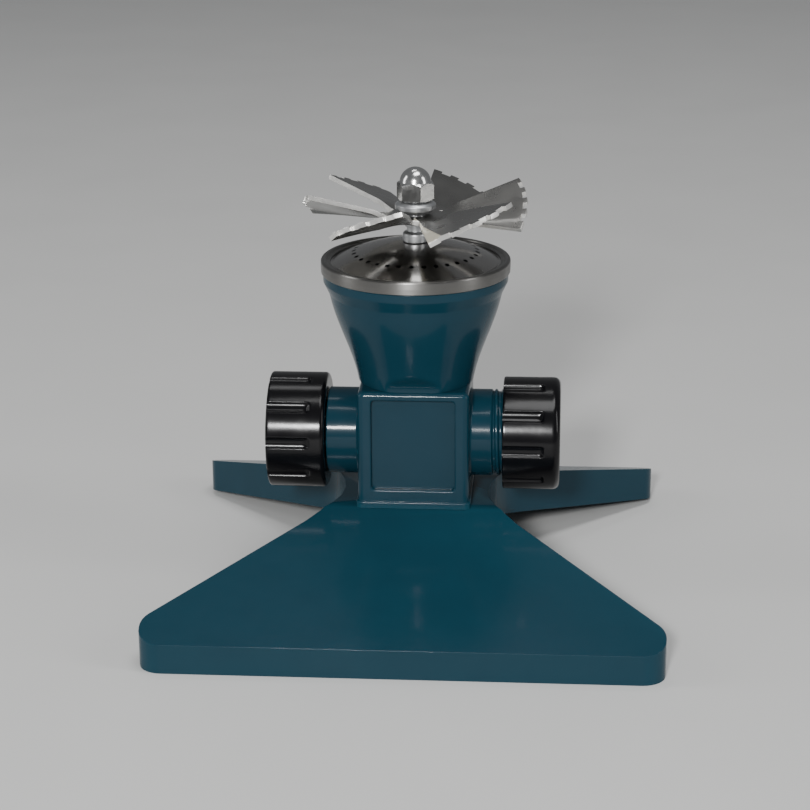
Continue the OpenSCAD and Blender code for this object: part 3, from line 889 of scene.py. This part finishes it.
def rotor():
    """One stamped sheet: a hub ring and six twisted blades with toothed outer edges."""
    cells = 2 * TEETH - 1
    fine = 3
    columns = [-1 + 2 * i / (cells * fine) for i in range(cells * fine + 1)]
    slot_parts = 5
    blade_parts = 16
    hub_rows = [3.25, 4.4, 5.8, 7.2, ROOT_R]
    blade_rows = [ROOT_R + (TIP_R - TOOTH - ROOT_R) * ((i + 1) / blade_parts) for i in range(blade_parts)]
    verts, faces = [], []

    def put(r, u, turn, *bend):
        x, y, z = blade_point(r, u, *bend)
        verts.append((x * math.cos(turn) - y * math.sin(turn), x * math.sin(turn) + y * math.cos(turn), z))
        return len(verts) - 1

    hub = [[] for _ in hub_rows]
    for i, (turn, *bend) in enumerate(BLADES):
        next_turn, *next_bend = BLADES[(i + 1) % len(BLADES)]
        edge = turn + bend[0]
        slot = (next_turn - next_bend[0] - edge) % (2 * math.pi)
        for k, r in enumerate(hub_rows):
            hub[k] += [put(r, u, turn, *bend) for u in columns]
            z0, z1 = blade_point(r, 1, *bend)[2], blade_point(r, -1, *next_bend)[2]
            for j in range(1, slot_parts):
                t = j / slot_parts
                angle = edge + slot * t
                z = z0 + (z1 - z0) * step_between(t, 0, 1)
                verts.append((r * math.cos(angle), r * math.sin(angle), z))
                hub[k].append(len(verts) - 1)
        rows = [hub[-1][-(len(columns) + slot_parts - 1):][:len(columns)]]
        for r in blade_rows:
            rows.append([put(r, u, turn, *bend) for u in columns])
        for below, above in zip(rows, rows[1:]):
            for j in range(len(columns) - 1):
                faces.append((below[j], below[j + 1], above[j + 1], above[j]))
        for cell in range(0, cells, 2):
            base = rows[-1][cell * fine:cell * fine + fine + 1]
            tip = [put(TIP_R, columns[cell * fine + j], turn, *bend) for j in range(fine + 1)]
            for j in range(fine):
                faces.append((base[j], base[j + 1], tip[j + 1], tip[j]))
    for below, above in zip(hub, hub[1:]):
        for i in range(len(below)):
            j = (i + 1) % len(below)
            faces.append((below[i], below[j], above[j], above[i]))
    piece = new_piece("propeller", verts, faces)
    solid = piece.modifiers.new("sheet", "SOLIDIFY")
    solid.thickness = SHEET_T * MM
    solid.offset = 0
    solid.use_even_offset = True
    solid.material_offset_rim = 1
    piece.data.materials.append(MATERIALS["rotor_sheet"])
    # The sheet's cut rims get bare metal with a painted highlight.
    piece.data.materials.append(cut_edge())
    apply_modifiers(piece)
    bevel(piece, 0.16, 2, 55)
    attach(piece, "rotor")
    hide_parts("rotor_blades")
    smooth(piece, 40)


def cut_edge():
    """Bare metal where the press cut the sheet, made much paler than the sheet as a painted highlight."""
    mat, w = new_material("cut_edge", SHEET_CUT_HIGHLIGHT, roughness=0.36, metallic=0.75)
    # Much paler than the sheet: bare cut metal plus a painted highlight.
    w.color(w.mix(w.noise(size_mm=4, detail=2), tuple(0.8 * c for c in SHEET_CUT_HIGHLIGHT), SHEET_CUT_HIGHLIGHT))
    w.roughness(w.noise(size_mm=2, detail=2), lowest=0.3, highest=0.38)
    return mat


def filter_screen():
    """Woven wire disc with a rolled rim."""
    lo, hi = low("filter_screen"), high("filter_screen")
    x = (lo.x + hi.x) / 2
    reach, pitch, wire, sides, weave_h = 9.2, 1.15, 0.15, 6, 0.13
    rim_bore, rim_r = 8.9, 9.5
    verts, faces = [], []
    count = int(reach / pitch)
    for way in (0, 1):
        for n in range(-count, count + 1):
            offset = n * pitch
            half = math.sqrt(reach ** 2 - offset ** 2)
            steps = max(4, int(4 * half / pitch) * 2)
            start = len(verts)
            for i in range(steps + 1):
                along = -half + 2 * half * i / steps
                lift = weave_h * math.cos(math.pi * along / pitch) * (1 if (n + way) % 2 else -1)
                for k in range(sides):
                    a = 2 * math.pi * k / sides
                    side, up = offset + wire * math.cos(a), lift + wire * math.sin(a)
                    across, height = (along, side) if way else (side, along)
                    verts.append((x + up, across, PORT_Z + height))
            for i in range(steps):
                for k in range(sides):
                    a, b = start + i * sides + k, start + i * sides + (k + 1) % sides
                    faces.append((a, b, b + sides, a + sides))
            faces.append(tuple(start + k for k in range(sides)))
            faces.append(tuple(start + steps * sides + k for k in range(sides)))
    weave = clean(new_piece("screen", verts, faces))
    rim = turned("screen_rim", ring_profile(rim_bore, rim_r, lo.x, hi.x, 0.12), even_angles(96), axis="x")
    join = bmesh.new()
    join.from_mesh(weave.data)
    join.from_mesh(rim.data)
    join.to_mesh(weave.data)
    join.free()
    bpy.data.objects.remove(rim)
    smooth(finish_piece(weave, "filter_screen"), 50)


body_casting()
base_casting()
swivel_nut()
outlet_cap()
spray_dome()
rim_band()
collar()
acorn_nut()
rotor()
filter_screen()
dished_washer()
simple_ring("slip_washer", "thrust_washer", rounding=0.15, bore=SPINDLE_BORE)
simple_ring("inlet_seal", "hose_washer", rounding=0.5, bore=8.0)
simple_ring("cap_seal_ring", "cap_washer", rounding=0.4, bore=5.0)
smooth(finish_piece(rounded_copy("base_screws", "screws", 0.25, 2), "base_screws"), 35)

# ---------------------------------------------------------------- stage, light and camera


def studio_floor():
    bm = bmesh.new()
    bmesh.ops.create_grid(bm, x_segments=2, y_segments=2, size=4)
    mesh = bpy.data.meshes.new("floor")
    bm.to_mesh(mesh)
    bm.free()
    obj = bpy.data.objects.new("floor", mesh)
    bpy.context.scene.collection.objects.link(obj)
    mat, w = new_material("floor", FLOOR, roughness=0.6)
    w.roughness(w.noise(size_mm=60, detail=3), lowest=0.55, highest=0.7)
    mesh.materials.append(mat)


def area_light(name, place, target, size, power):
    data = bpy.data.lights.new(name, "AREA")
    data.shape = "RECTANGLE"
    data.size, data.size_y = size
    data.energy = power
    obj = bpy.data.objects.new(name, data)
    bpy.context.scene.collection.objects.link(obj)
    obj.location = place
    obj.rotation_euler = (Vector(target) - Vector(place)).to_track_quat("-Z", "Y").to_euler()


def studio_light():
    middle = (0, 0, 0.07)
    area_light("key", (-0.14, -1.3, 0.62), middle, size=(0.15, 0.15), power=18)
    area_light("left_fill", (-1.2, -0.1, 0.55), middle, size=(0.25, 0.8), power=3.5)
    area_light("right_fill", (1.2, -0.35, 0.6), middle, size=(0.25, 0.8), power=4)
    area_light("top", (0.2, -0.25, 1.5), middle, size=(0.8, 0.5), power=9)
    area_light("back_top", (-0.16, 0.5, 1.5), middle, size=(0.5, 0.2), power=1.5)
    world = bpy.data.worlds.new("studio")
    bpy.context.scene.world = world
    world.use_nodes = True
    background = world.node_tree.nodes["Background"]
    background.inputs["Color"].default_value = (0.9, 0.92, 0.95, 1)
    background.inputs["Strength"].default_value = 0.2


def camera():
    """Stands just right of the front and looks down at the sprinkler."""
    place = (0.0453, -0.6649, 0.2801)
    yaw, down, roll = math.radians(4.2), math.radians(18.53), math.radians(-0.36)
    ahead = Vector((-math.sin(yaw) * math.cos(down), math.cos(yaw) * math.cos(down), -math.sin(down)))
    right = Vector((math.cos(yaw), math.sin(yaw), 0))
    up = right.cross(ahead)
    turned_right = right * math.cos(roll) + up * math.sin(roll)
    turned_up = up * math.cos(roll) - right * math.sin(roll)
    data = bpy.data.cameras.new("camera")
    data.lens = 100.7
    data.sensor_width = 36
    data.clip_start = 0.01
    obj = bpy.data.objects.new("camera", data)
    bpy.context.scene.collection.objects.link(obj)
    axes = Matrix((turned_right, turned_up, -ahead)).transposed().to_4x4()
    obj.matrix_world = Matrix.Translation(place) @ axes
    bpy.context.scene.camera = obj


studio_floor()
studio_light()
camera()
